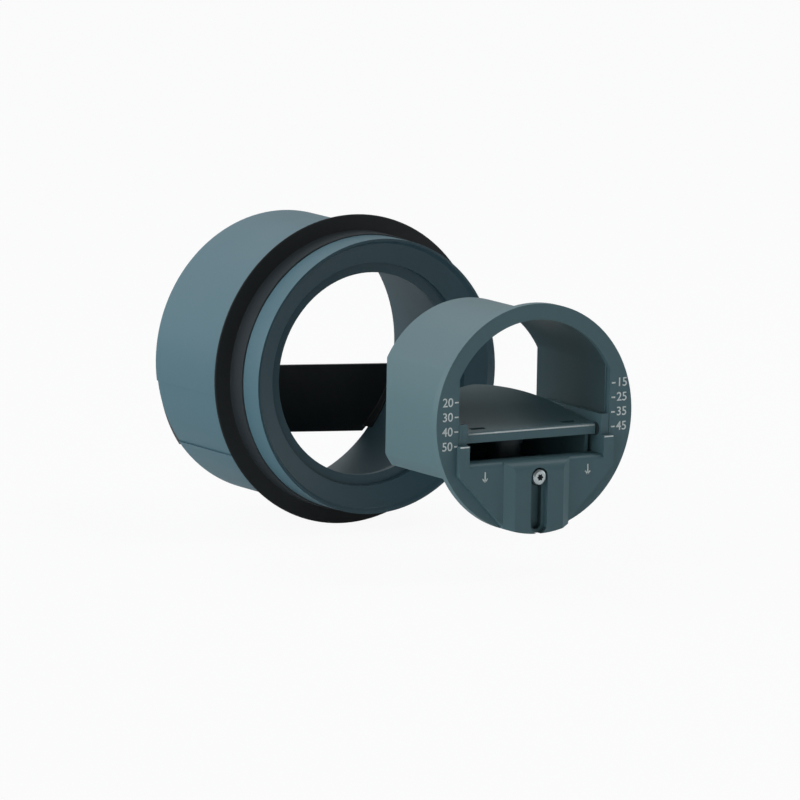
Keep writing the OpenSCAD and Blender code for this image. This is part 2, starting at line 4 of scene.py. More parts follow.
import bmesh
import bpy
from bpy.props import FloatProperty, FloatVectorProperty, IntProperty, PointerProperty
from mathutils import Matrix, Vector

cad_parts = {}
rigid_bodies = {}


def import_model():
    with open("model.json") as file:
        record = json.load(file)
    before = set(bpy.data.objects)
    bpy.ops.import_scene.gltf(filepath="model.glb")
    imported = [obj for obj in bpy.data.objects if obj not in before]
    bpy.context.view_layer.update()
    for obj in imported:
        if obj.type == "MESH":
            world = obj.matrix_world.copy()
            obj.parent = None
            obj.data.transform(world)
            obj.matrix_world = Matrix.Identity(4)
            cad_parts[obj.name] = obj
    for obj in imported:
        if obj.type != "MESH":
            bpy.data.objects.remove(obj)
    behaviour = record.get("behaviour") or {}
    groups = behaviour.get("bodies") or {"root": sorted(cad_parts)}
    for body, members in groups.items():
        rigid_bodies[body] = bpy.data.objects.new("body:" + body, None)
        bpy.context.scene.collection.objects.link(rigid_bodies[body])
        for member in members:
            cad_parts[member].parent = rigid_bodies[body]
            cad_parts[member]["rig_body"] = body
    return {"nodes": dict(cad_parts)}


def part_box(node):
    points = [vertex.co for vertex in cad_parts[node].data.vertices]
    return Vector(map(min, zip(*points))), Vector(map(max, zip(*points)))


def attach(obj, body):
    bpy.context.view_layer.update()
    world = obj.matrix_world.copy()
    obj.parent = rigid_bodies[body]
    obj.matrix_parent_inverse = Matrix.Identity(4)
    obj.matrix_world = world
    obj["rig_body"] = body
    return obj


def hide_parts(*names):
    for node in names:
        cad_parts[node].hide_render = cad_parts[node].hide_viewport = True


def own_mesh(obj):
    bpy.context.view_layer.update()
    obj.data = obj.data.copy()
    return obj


bl_info = {
    "name": "Constant Airflow Regulator",
    "version": (1, 0, 0),
    "blender": (4, 5, 0),
    "location": "View3D > Sidebar > Regulator",
    "description": "Dresses the packed airflow regulator: mouldings, metal, printed scale and studio",
    "category": "Add Mesh",
}

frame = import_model()

MM = 0.001
# The middle block of the slider stands this far before its face
BLOCK_H = 2 * MM

# The faces that carry print, the damper's middle, the spring and the ground, all read from the frame
PLATE_FACE_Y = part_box("face_plate")[0].y
SLIDER_FACE_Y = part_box("slider_plate")[0].y + BLOCK_H
SLIDER_HALF_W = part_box("slider_plate")[1].x
BLADE_FRONT_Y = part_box("blade")[0].y
DAMPER_LOW, DAMPER_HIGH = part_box("damper_cylinder")
DAMPER_Y = (DAMPER_LOW.y + DAMPER_HIGH.y) / 2
SPRING_LOW, SPRING_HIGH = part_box("return_spring")
FLOOR_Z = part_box("lip_seal")[0].z

# Radii just outside the collar's rim and the seal's hub, and where the hub ends and the lip begins; they
# bound the painted shade on the sleeve and the painted light on the seal's hub
COLLAR_R = 47.4 * MM
HUB_R = 47.6 * MM
HUB_END_Y = -2.2 * MM

# The slider's shoulders, the plate's opening beside them and the slot round the screw, whose side walls
# get painted shade
SHOULDER_Z = -7.4 * MM
SHOULDER_W = 3.9 * MM
OPENING_HALF_W = 29.3 * MM
OPENING_GAP = 0.15 * MM
SLOT_HALF_W = 3 * MM

# The widened fronts of the cheeks: their lowest and highest point, their depth, and how little they
# stand proud of the cheeks and of the plate's face
FLANGE_Z = (-13 * MM, -0.4 * MM)
FLANGE_DEPTH = 2.6 * MM
FLANGE_PROUD = 0.03 * MM

# The screw's six-lobe socket: its radius, how far the lobes wave in and out, and where its dark fill
# lies, which is painted shade
SOCKET_R = 0.95 * MM
SOCKET_LOBES = 6
SOCKET_WAVE = 0.16
SOCKET_SHADE_SINK = 0.25 * MM
SOCKET_SHADE_DEPTH = 0.7 * MM

# The spring is wide on the piston and this share as wide under the cap, and closes to this share
SPRING_NARROWING = 0.4

# The printed scale: each side's numbers with their heights on the plate, then where its ticks and its
# numbers stand, all in millimetres
SCALE_SIDES = (
    (-1, "left", {"20": 7.1, "30": 2.22, "40": -2.66, "50": -7.54}, 30.3, 33.7),
    (1, "right", {"15": 9.75, "25": 4.87, "35": 0.0, "45": -4.88}, 30.75, 34.1),
)
FONT_SIZE_PER_DIGIT = 1.38
DIGIT_WEIGHT = 0.012
ARROW_X = 20 * MM
ARROW_Z = -18.1 * MM
ARROW_BARB = 0.45
ARROW_SPREAD = 40
# A pale line along the top edge of each shoulder: how far it stands beside the middle, its length and
# how far below the shoulder's top
SHOULDER_LINE_X = 28.05 * MM
SHOULDER_LINE_W = 3.5 * MM
SHOULDER_LINE_DROP = 0.3 * MM
# How far the painted highlight on the blade's lip lies below the lip's top, and how far short of each
# end it stops
PAINTED_HIGHLIGHT_DROP = 0.35 * MM
PAINTED_HIGHLIGHT_INSET = 0.4 * MM

# The studio's soft lights: the direction that each comes from, and its strength. None stands in front.
SOFT_LIGHTS = (
    ((-1, 0, 0.1), 2.9),
    ((-0.7, 0.7, 0.1), 1.0),
    ((0, 1, 0.1), 0.8),
    ((1, 0, 0.1), 1.3),
    ((0, 0.7, 0.7), 1.15),
)
LIGHT_TINT = (0.93, 0.98, 1.0)
LIGHT_FOCUS = 6
WHITE = (1, 1, 1, 1)

# How much of the white backdrop shows to the camera in the floor and the sky, and to gloss and glass
FLOOR_SHARE = 0.93
SKY_SHARE = 1.0
GLOSS_SHARE = 0.15
FLOOR_HALF_W = 6.0

# The lamp above the plate: its place beside the plate's middle, its width and its power in watts
LAMP_OFFSET = (0.52, -0.13, 0.82)
LAMP_W = 0.3
LAMP_POWER = 1.5

# The photograph's camera: turn, tilt and roll, its place, its lens, and how far the object leans
CAMERA_DEGREES = (31.610, -9.805, -0.555)
CAMERA_PLACE = (-1.96538, -3.2271, 0.64206)
CAMERA_LENS = 510.4
CAMERA_SENSOR = 36
OBJECT_LEAN = -1.9


def hex_colour(code):
    """Turn an sRGB hex value such as #58777E into the linear colour that a shader socket holds."""
    channels = [int(code[i:i + 2], 16) / 255 for i in (1, 3, 5)]
    return tuple(c / 12.92 if c <= 0.04045 else ((c + 0.055) / 1.055) ** 2.4 for c in channels) + (1.0,)


def colour_prop(name, description, code):
    """A colour that the panel shows, with its default given as a hex value."""
    return FloatVectorProperty(name=name, description=description, subtype="COLOR", size=4,
                               min=0.0, max=1.0, default=hex_colour(code))


def length_prop(name, description, millimetres, largest=20.0):
    """A length that the panel shows, with its default given in millimetres."""
    return FloatProperty(name=name, description=description, unit="LENGTH", precision=5,
                         min=0.0, max=largest * MM, default=millimetres * MM)


class RegulatorSizes(bpy.types.PropertyGroup):
    """Sizes of the finish: rounded edges and printed marks."""

    sleeve_edge: length_prop("Sleeve edge", "Rounding of the sleeve's moulded edges", 0.25)
    plate_edge: length_prop("Plate edge", "Rounding of the front plate's edges", 0.35)
    module_edge: length_prop("Module edge", "Rounding of the module's moulded edges", 0.2)
    fine_edge: length_prop("Fine edge", "Rounding of small moulded and turned parts", 0.1)
    edge_steps: IntProperty(name="Edge steps", description="Faces across a rounded edge",
                            default=3, min=1, max=6)
    digit_h: length_prop("Digit height", "Height of the printed numbers", 3.0)
    tick_w: length_prop("Tick length", "Length of the printed ticks", 1.45)
    # The tick's stroke and the ink's thickness also size the pale shoulder lines and the painted
    # highlight on the blade's lip
    tick_h: length_prop("Tick height", "Width of a printed tick's stroke", 0.5)
    arrow_h: length_prop("Arrow height", "Height of the printed arrows that mark the side for down", 3.4)
    stroke_w: length_prop("Arrow stroke", "Width of a printed arrow's stroke", 0.42)
    ink_t: length_prop("Ink thickness", "How far the print stands on the plastic", 0.05)
    wire_r: length_prop("Spring wire", "Radius of the return spring's wire", 0.18)
    spring_turns: IntProperty(name="Spring turns", description="Turns of the return spring",
                              default=4, min=2, max=6)


class RegulatorColours(bpy.types.PropertyGroup):
    """Base colours of the finishes."""

    # The sleeve's and the module's colours are also drawn at half brightness as painted shade on their
    # inner faces
    sleeve: colour_prop("Sleeve", "Blue-grey ABS of the sleeve", "#4D7380")
    module: colour_prop("Module", "Blue-grey ABS of the module", "#58777E")
    # The seal's colour is also drawn three times as light as painted light on its hub
    seal: colour_prop("Seal", "Black EPDM rubber", "#0F1518")
    strap: colour_prop("Strap", "Black nylon of the rear strap", "#131719")
    inner: colour_prop("Inner parts", "Dark glass-filled nylon", "#39464B")
    zinc: colour_prop("Zinc", "Bright zinc plating", "#C9D0D2")
    # This colour is also the painted shade that fills the screw's socket
    washer: colour_prop("Washer", "Dark phosphated steel of the screw's washer", "#2B3134")
    acetal: colour_prop("Acetal", "Natural acetal of the bearings", "#D8D6CC")
    # This colour is also the painted highlight along the blade's lip
    ink: colour_prop("Ink", "White pad-printing ink", "#F2F7F7")
    floor: colour_prop("Floor", "Pale paper of the studio", "#F2F3F3")


def add_node(tree, kind, values=None, links=None, **settings):
    """Add a node, set its properties and socket values, and link its sockets to other sockets."""
    made = tree.nodes.new(kind)
    for name, value in settings.items():
        setattr(made, name, value)
    for socket, value in (values or {}).items():
        made.inputs[socket].default_value = value
    for socket, source in (links or {}).items():
        tree.links.new(source, made.inputs[socket])
    return made


def new_material(name):
    """A material with an empty tree and its output node."""
    material = bpy.data.materials.new(name)
    material.use_nodes = True
    material.node_tree.nodes.clear()
    return material, material.node_tree, material.node_tree.nodes.new("ShaderNodeOutputMaterial")


def shade(colour, factor):
    """The same colour, lighter or darker."""
    return tuple(min(1.0, c * factor) for c in colour[:3]) + (1.0,)


def textured(name, colour, spread, patch, grain, bump, rough, metallic=0.0, painted_shading_factor=1.0, **extra):
    """A surface with soft tone patches, a fine grain and a roughness that follows the patches.

    patch and grain are real widths in metres; rough is the lowest and highest roughness;
    painted_shading_factor is how light the faces marked "inside" are drawn beside the others: below one
    it is painted shade, above one painted light."""
    material, tree, output = new_material(name)
    place = add_node(tree, "ShaderNodeTexCoord").outputs["Object"]
    patches = add_node(tree, "ShaderNodeTexNoise", {"Scale": 1 / patch, "Detail": 3.0},
                       {"Vector": place})
    grains = add_node(tree, "ShaderNodeTexNoise", {"Scale": 1 / grain, "Detail": 2.0},
                      {"Vector": place})
    tones = {"A": shade(colour, 1 - spread), "B": shade(colour, 1 + spread)}
    tone = add_node(tree, "ShaderNodeMix", tones, {"Factor": patches.outputs["Fac"]},
                    data_type="RGBA").outputs["Result"]
    # Painted shade and painted light: the faces marked inside take the colour times
    # painted_shading_factor
    if painted_shading_factor != 1:
        inside = add_node(tree, "ShaderNodeAttribute", attribute_name="inside").outputs["Fac"]
        tone = add_node(tree, "ShaderNodeMix", {"B": shade(colour, painted_shading_factor)},
                        {"Factor": inside, "A": tone}, data_type="RGBA").outputs["Result"]
    roughness = add_node(tree, "ShaderNodeMapRange", {"To Min": rough[0], "To Max": rough[1]},
                         {"Value": patches.outputs["Fac"]})
    relief = add_node(tree, "ShaderNodeBump", {"Strength": bump, "Distance": grain / 4},
                      {"Height": grains.outputs["Fac"]})
    shader = add_node(tree, "ShaderNodeBsdfPrincipled", {"Metallic": metallic, **extra},
                      {"Base Color": tone, "Roughness": roughness.outputs["Result"],
                       "Normal": relief.outputs["Normal"]})
    tree.links.new(shader.outputs["BSDF"], output.inputs["Surface"])
    return material


def moulded_abs_and_painted_shade(name, colour):
    """Injection-moulded ABS from a lightly spark-eroded tool: satin, with very slight flow clouds.

    Such a tool leaves a grain of about 0.1 mm; it is drawn three times as coarse so that it shows.
    The faces marked "inside" are drawn at half the colour: painted shade in the bore, the funnel, the
    inner walls and the slot."""
    return textured(name, colour, spread=0.03, patch=18 * MM, grain=0.3 * MM, bump=0.12,
                    rough=(0.42, 0.52), painted_shading_factor=0.5, IOR=1.5)


def epdm_rubber_and_painted_light(colour):
    """Compression-moulded EPDM: near black with a dry bloom, so broad dull highlights only.

    The hub's faces, marked "inside", are drawn three times as light as the free lip: painted light on
    the hub."""
    return textured("epdm_rubber_and_painted_light", colour, spread=0.12, patch=9 * MM, grain=0.35 * MM, bump=0.25,
                    rough=(0.6, 0.75), painted_shading_factor=3.0, IOR=1.5)


def moulded_nylon(name, colour):
    """Glass-filled nylon: dark and satin, with a faint fibre fleck of half a millimetre."""
    return textured(name, colour, spread=0.1, patch=6 * MM, grain=0.5 * MM, bump=0.15,
                    rough=(0.38, 0.5), IOR=1.53)


def zinc_plated_steel(name, colour):
    """Cold-headed steel with bright zinc: mirror-like, but softened by fine die marks."""
    return textured(name, colour, spread=0.05, patch=1.5 * MM, grain=0.15 * MM, bump=0.06,
                    rough=(0.18, 0.3), metallic=1.0)


def dark_steel_and_painted_shade(colour):
    """Dark spring steel: dull and finely crystalline, with an oily patch here and there. The screw's
    washer is drawn in it, and so is the dark fill of the screw's socket, which is painted shade.
    """
    return textured("dark_steel_and_painted_shade", colour, spread=0.12, patch=1 * MM, grain=0.15 * MM, bump=0.1,
                    rough=(0.45, 0.6), metallic=1.0)


def natural_acetal(colour):
    """Uncoloured acetal, machined from bar: waxy white with fine turning marks."""
    return textured("natural_acetal", colour, spread=0.03, patch=3 * MM, grain=0.2 * MM, bump=0.1,
                    rough=(0.3, 0.4), IOR=1.48)


def ink_and_painted_highlight(colour):
    """Pad-printed ink: a flat pale film, thinner in small patches where the pad lifted. The same film
    draws the painted highlight along the blade's lip.
    """
    return textured("ink_and_painted_highlight", colour, spread=0.08, patch=0.8 * MM, grain=0.2 * MM, bump=0.05,
                    rough=(0.5, 0.6), IOR=1.5)


def finish_of(name):
    """The material of a finish, made once from the scene's colours."""
    found = bpy.data.materials.get(name)
    if found:
        return found
    colours = bpy.context.scene.regulator_colours
    makers = {
        "sleeve_abs_and_painted_shade": lambda: moulded_abs_and_painted_shade("sleeve_abs_and_painted_shade", colours.sleeve),
        "module_abs_and_painted_shade": lambda: moulded_abs_and_painted_shade("module_abs_and_painted_shade", colours.module),
        "epdm_rubber_and_painted_light": lambda: epdm_rubber_and_painted_light(colours.seal),
        "strap_nylon": lambda: moulded_nylon("strap_nylon", colours.strap),
        "inner_nylon": lambda: moulded_nylon("inner_nylon", colours.inner),
        "zinc_plated_steel": lambda: zinc_plated_steel("zinc_plated_steel", colours.zinc),
        "dark_steel_and_painted_shade": lambda: dark_steel_and_painted_shade(colours.washer),
        "natural_acetal": lambda: natural_acetal(colours.acetal),
        "ink_and_painted_highlight": lambda: ink_and_painted_highlight(colours.ink),
    }
    return makers[name]()


def body_of(node):
    """The name of the body that a CAD node rides on."""
    return frame["nodes"][node]["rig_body"]


def place_piece(name, work, body, finish):
    """Turn a finished bmesh into a smooth-shaded piece that rides on a body."""
    mesh = bpy.data.meshes.new(name)
    for face in work.faces:
        face.smooth = True
    work.to_mesh(mesh)
    work.free()
    for layer in [a.name for a in mesh.attributes if a.name == "custom_normal"]:
        mesh.attributes.remove(mesh.attributes[layer])
    piece = bpy.data.objects.new(name, mesh)
    bpy.context.scene.collection.objects.link(piece)
    mesh.materials.clear()
    mesh.materials.append(finish_of(finish))
    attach(piece, body)
    return piece


def round_edges(piece, width, sharp=30.0):
    """Round the sharp edges of a piece, as a mould or a deburred tool leaves them."""
    bevel = piece.modifiers.new("rounded_edges", "BEVEL")
    bevel.width = width
    bevel.segments = bpy.context.scene.regulator_sizes.edge_steps
    bevel.limit_method = "ANGLE"
    bevel.angle_limit = math.radians(sharp)
    bevel.harden_normals = True
    bevel.use_clamp_overlap = True
    return piece


def faces_inward(middle, normal):
    """Whether a face looks toward the duct's axis, as a bore or a funnel does; such faces get painted
    shade.
    """
    radius = math.hypot(middle.x, middle.z)
    return (normal.x * middle.x + normal.z * middle.z) < -0.05 * radius


def faces_into_collar(middle, normal):
    """Whether a face of the sleeve belongs to its bore, its funnel or the collar's front rim; these get
    painted shade.
    """
    faces_front = normal.y < -0.5 and math.hypot(middle.x, middle.z) < COLLAR_R
    return faces_inward(middle, normal) or faces_front


def faces_on_hub(middle, normal):
    """Whether a face of the seal lies on its hub, before the lip; these get painted light."""
    return middle.y < HUB_END_Y and math.hypot(middle.x, middle.z) < HUB_R


def faces_in_slot(middle, normal):
    """Whether a face of the slider is a side wall of the slot round the screw; these get painted shade.
    """
    return abs(middle.x) < SLOT_HALF_W and abs(normal.x) > 0.3


def moulded_copy(node, finish, edge, inside=None):
    """Copy a CAD node, merge its loose triangles into clean faces and round its edges.

    inside tells which faces are marked "inside", and so get the finish's second tone: painted shade in
    the ABS finishes, painted light in the rubber."""
    work = bmesh.new()
    work.from_mesh(frame["nodes"][node].data)
    bmesh.ops.remove_doubles(work, verts=work.verts, dist=0.001 * MM)
    bmesh.ops.dissolve_limit(work, angle_limit=math.radians(0.5), verts=work.verts, edges=work.edges)
    piece = place_piece(node + "_moulding", work, body_of(node), finish)
    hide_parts(node)
    if inside:
        marks = piece.data.attributes.new("inside", "FLOAT", "FACE").data
        for face in piece.data.polygons:
            marks[face.index].value = float(inside(face.center, face.normal))
    return round_edges(piece, edge)


def finish_node(node, finish):
    """Give a CAD node whose shape is right its finish."""
    piece = frame["nodes"][node]
    if not piece.material_slots:
        piece.data.materials.append(None)
    for place in piece.material_slots:
        place.link = "OBJECT"
        place.material = finish_of(finish)


class REGULATOR_OT_sleeve_body(bpy.types.Operator):
    """Add the moulded duct sleeve with its collar, groove, funnel and side flats"""

    bl_idname = "regulator.sleeve_body"
    bl_label = "Sleeve Body"

    def execute(self, context):
        edge = context.scene.regulator_sizes.sleeve_edge
        # The bore, the funnel and the collar's front rim get painted shade
        moulded_copy("sleeve_body", "sleeve_abs_and_painted_shade", edge, faces_into_collar)
        return {"FINISHED"}


class REGULATOR_OT_lip_seal(bpy.types.Operator):
    """Add the rubber lip seal that lies in the sleeve's groove"""

    bl_idname = "regulator.lip_seal"
    bl_label = "Lip Seal"

    def execute(self, context):
        edge = context.scene.regulator_sizes.sleeve_edge
        # The seal's hub gets painted light
        moulded_copy("lip_seal", "epdm_rubber_and_painted_light", edge, faces_on_hub)
        return {"FINISHED"}


class REGULATOR_OT_rear_strap(bpy.types.Operator):
    """Add the black strap across the sleeve's rear rim"""

    bl_idname = "regulator.rear_strap"
    bl_label = "Rear Strap"

    def execute(self, context):
        edge = context.scene.regulator_sizes.module_edge
        moulded_copy("rear_strap", "strap_nylon", edge)
        return {"FINISHED"}


class REGULATOR_OT_module_shells(bpy.types.Operator):
    """Add the module's front plate and its airway shell"""

    bl_idname = "regulator.module_shells"
    bl_label = "Module Shells"

    def execute(self, context):
        sizes = context.scene.regulator_sizes
        moulded_copy("face_plate", "module_abs_and_painted_shade", sizes.plate_edge)
        # The shell's inner walls get painted shade
        moulded_copy("airway_shell", "module_abs_and_painted_shade", sizes.module_edge, faces_inward)
        return {"FINISHED"}


class REGULATOR_OT_slider(bpy.types.Operator):
    """Add the slider plate and the carriage behind it"""

    bl_idname = "regulator.slider"
    bl_label = "Slider and Carriage"

    def execute(self, context):
        sizes = context.scene.regulator_sizes
        # The side walls of the slot round the screw get painted shade
        moulded_copy("slider_plate", "module_abs_and_painted_shade", sizes.module_edge, faces_in_slot)
        moulded_copy("carriage", "module_abs_and_painted_shade", sizes.fine_edge)
        self.cheek_flanges(sizes)
        return {"FINISHED"}

    def cheek_flanges(self, sizes):
        """Widen each cheek's front until it fills the plate's opening, flush with the plate's face."""
        inner_x = SLIDER_HALF_W - SHOULDER_W + FLANGE_PROUD
        width = OPENING_HALF_W - OPENING_GAP - inner_x
        middle_y = PLATE_FACE_Y - FLANGE_PROUD + FLANGE_DEPTH / 2
        low, high = FLANGE_Z
        work = bmesh.new()
        for side in (-1, 1):
            made = bmesh.ops.create_cube(work, size=1.0)["verts"]
            bmesh.ops.scale(work, vec=(width, FLANGE_DEPTH, high - low), verts=made)
            place = (side * (inner_x + width / 2), middle_y, (low + high) / 2)
            bmesh.ops.translate(work, vec=place, verts=made)
        piece = place_piece("carriage_cheek_flanges", work, body_of("carriage"), "module_abs_and_painted_shade")
        round_edges(piece, sizes.fine_edge)


class REGULATOR_OT_blade(bpy.types.Operator):
    """Add the regulating blade with its yoke and weight"""

    bl_idname = "regulator.blade"
    bl_label = "Blade"

    def execute(self, context):
        sizes = context.scene.regulator_sizes
        moulded_copy("blade", "module_abs_and_painted_shade", sizes.module_edge)
        moulded_copy("drive_yoke", "inner_nylon", sizes.fine_edge)
        return {"FINISHED"}


class REGULATOR_OT_damper(bpy.types.Operator):
    """Finish the damper, the pins and the bearings, and wind the return spring"""

    bl_idname = "regulator.damper"
    bl_label = "Damper and Pins"

    def execute(self, context):
        finishes = {
            "inner_nylon": ("damper_cylinder", "damper_cap", "hinge_bushes"),
            "zinc_plated_steel": ("hinge_pin", "rod_pin", "piston_rod", "balance_weight", "clamp_screw"),
            "dark_steel_and_painted_shade": ("screw_washer",),
            "natural_acetal": ("piston",),
            "epdm_rubber_and_painted_light": ("rest_pads",),
        }
        for finish, nodes in finishes.items():
            for node in nodes:
                finish_node(node, finish)
        self.spring(context.scene.regulator_sizes)
        self.socket_painted_shade()
        return {"FINISHED"}

    def socket_painted_shade(self):
        """Fill the screw's six-lobe socket with a dark piece, painted shade, so that it reads as deep.
        """
        low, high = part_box("clamp_screw")
        middle = Vector(((low.x + high.x) / 2, low.y + SOCKET_SHADE_SINK, (low.z + high.z) / 2))
        work = bmesh.new()
        outline = bmesh.ops.create_circle(work, cap_ends=True, segments=48, radius=SOCKET_R)["verts"]
        for vert in outline:
            vert.co *= 1 + SOCKET_WAVE * math.cos(SOCKET_LOBES * math.atan2(vert.co.y, vert.co.x))
        pulled = bmesh.ops.extrude_face_region(work, geom=list(work.faces))["geom"]
        pulled_verts = [part for part in pulled if isinstance(part, bmesh.types.BMVert)]
        bmesh.ops.translate(work, vec=(0, 0, SOCKET_SHADE_DEPTH), verts=pulled_verts)
        bmesh.ops.rotate(work, cent=(0, 0, 0), matrix=Matrix.Rotation(-math.pi / 2, 3, "X"),
                         verts=work.verts)
        bmesh.ops.translate(work, vec=middle, verts=work.verts)
        bmesh.ops.recalc_face_normals(work, faces=work.faces)
        place_piece("clamp_screw_socket_painted_shade", work, body_of("clamp_screw"), "dark_steel_and_painted_shade")

    def spring(self, sizes):
        """Wind the conical spring, wide on the piston and narrow under the cap, to close flat."""
        height = SPRING_HIGH.z - SPRING_LOW.z - 2 * sizes.wire_r
        wide = (SPRING_HIGH.y - SPRING_LOW.y) / 2 - sizes.wire_r
        work = bmesh.new()
        bmesh.ops.create_circle(work, cap_ends=True, segments=10, radius=sizes.wire_r)
        bmesh.ops.rotate(work, cent=(0, 0, 0), matrix=Matrix.Rotation(math.pi / 2, 3, "X"),
                         verts=work.verts)
        bmesh.ops.translate(work, vec=(wide, DAMPER_Y, SPRING_LOW.z + sizes.wire_r), verts=work.verts)
        steps = 32 * sizes.spring_turns
        bmesh.ops.spin(work, geom=list(work.faces), cent=(0, DAMPER_Y, 0), axis=(0, 0, 1),
                       dvec=(0, 0, height / steps), angle=math.tau * sizes.spring_turns, steps=steps)
        for vert in work.verts:
            share = min(1.0, max(0.0, (vert.co.z - SPRING_LOW.z) / height))
            spread = 1 + (SPRING_NARROWING - 1) * share
            vert.co.x *= spread
            vert.co.y = DAMPER_Y + (vert.co.y - DAMPER_Y) * spread
        bmesh.ops.recalc_face_normals(work, faces=work.faces)
        piece = place_piece("return_spring_coil", work, body_of("return_spring"),
                            "zinc_plated_steel")
        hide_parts("return_spring")
        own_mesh(piece)


class REGULATOR_OT_scale(bpy.types.Operator):
    """Print the flow scale's numbers and ticks, the arrows that mark the side for down and a pale line
    on each shoulder, and draw the painted highlight along the blade's lip
    """

    bl_idname = "regulator.scale"
    bl_label = "Printed Scale"

    def execute(self, context):
        sizes = context.scene.regulator_sizes
        for side, side_name, numbers, tick_x, number_x in SCALE_SIDES:
            for label, z in numbers.items():
                self.number(label, side * number_x * MM, z * MM, sizes)
                self.mark("tick_" + label, "face_plate", (side * tick_x * MM, PLATE_FACE_Y, z * MM),
                          sizes.tick_w, sizes)
            self.mark("index_" + side_name, "slider_plate",
                      (side * SHOULDER_LINE_X, SLIDER_FACE_Y, SHOULDER_Z - SHOULDER_LINE_DROP), SHOULDER_LINE_W, sizes)
            self.arrow("arrow_" + side_name, side * ARROW_X, ARROW_Z, sizes)
        # Painted highlight along the blade's lip
        self.painted_highlight_line(sizes)
        return {"FINISHED"}

    def painted_highlight_line(self, sizes):
        """Draw a painted highlight: a pale line along the upper edge of the blade's flat front lip."""
        blade_places = [vert.co for vert in frame["nodes"]["blade"].data.vertices]
        lip_places = [place for place in blade_places if place.y < BLADE_FRONT_Y + sizes.ink_t]
        lip_top = max(place.z for place in lip_places)
        lip_half_w = max(place.x for place in lip_places)
        self.mark("blade_painted_highlight", "blade", (0, BLADE_FRONT_Y, lip_top - PAINTED_HIGHLIGHT_DROP),
                  2 * (lip_half_w - PAINTED_HIGHLIGHT_INSET), sizes)

    def number(self, label, x, z, sizes):
        """Set a number as text, make it a mesh and stand it on the plate's face."""
        curve = bpy.data.curves.new("number_" + label, "FONT")
        curve.body = label
        curve.align_x = "CENTER"
        curve.align_y = "CENTER"
        curve.size = sizes.digit_h * FONT_SIZE_PER_DIGIT
        curve.extrude = sizes.ink_t / 2
        curve.offset = DIGIT_WEIGHT * sizes.digit_h
        lettered = bpy.data.objects.new("lettered", curve)
        bpy.context.scene.collection.objects.link(lettered)
        bpy.context.view_layer.update()
        shown = lettered.evaluated_get(bpy.context.evaluated_depsgraph_get())
        mesh = bpy.data.meshes.new_from_object(shown)
        bpy.data.objects.remove(lettered)
        mesh.transform(Matrix.Translation((x, PLATE_FACE_Y - sizes.ink_t / 2, z))
                       @ Matrix.Rotation(math.pi / 2, 4, "X"))
        mesh.name = "number_" + label
        mesh.materials.clear()
        mesh.materials.append(finish_of("ink_and_painted_highlight"))
        piece = bpy.data.objects.new("number_" + label, mesh)
        bpy.context.scene.collection.objects.link(piece)
        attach(piece, body_of("face_plate"))

    def mark(self, name, node, place, length, sizes):
        """Draw a printed tick, a pale shoulder line or the blade's painted highlight as a thin raised
        bar.
        """
        work = bmesh.new()
        bmesh.ops.create_cube(work, size=1.0)
        bmesh.ops.scale(work, vec=(length, sizes.ink_t, sizes.tick_h), verts=work.verts)
        bmesh.ops.translate(work, vec=Vector(place) - Vector((0, sizes.ink_t / 2, 0)), verts=work.verts)
        place_piece(name, work, body_of(node), "ink_and_painted_highlight")

    def arrow(self, name, x, z, sizes):
        """Print a plain arrow that points down, drawn with three straight strokes."""
        work = bmesh.new()
        barb = sizes.arrow_h * ARROW_BARB
        tip = -sizes.arrow_h / 2
        slant = barb / 2 * math.sin(math.radians(ARROW_SPREAD))
        rise = barb / 2 * math.cos(math.radians(ARROW_SPREAD))
        strokes = (
            (0, 0, sizes.arrow_h, 0),
            (-slant, tip + rise, barb, -ARROW_SPREAD),
            (slant, tip + rise, barb, ARROW_SPREAD),
        )
        for stroke_x, stroke_z, length, lean in strokes:
            made = bmesh.ops.create_cube(work, size=1.0)["verts"]
            bmesh.ops.scale(work, vec=(sizes.stroke_w, sizes.ink_t, length), verts=made)
            bmesh.ops.rotate(work, cent=(0, 0, 0), matrix=Matrix.Rotation(math.radians(lean), 3, "Y"),
                             verts=made)
            bmesh.ops.translate(work, vec=(x + stroke_x, SLIDER_FACE_Y - sizes.ink_t / 2, z + stroke_z),
                                verts=made)
        place_piece(name, work, body_of("slider_plate"), "ink_and_painted_highlight")


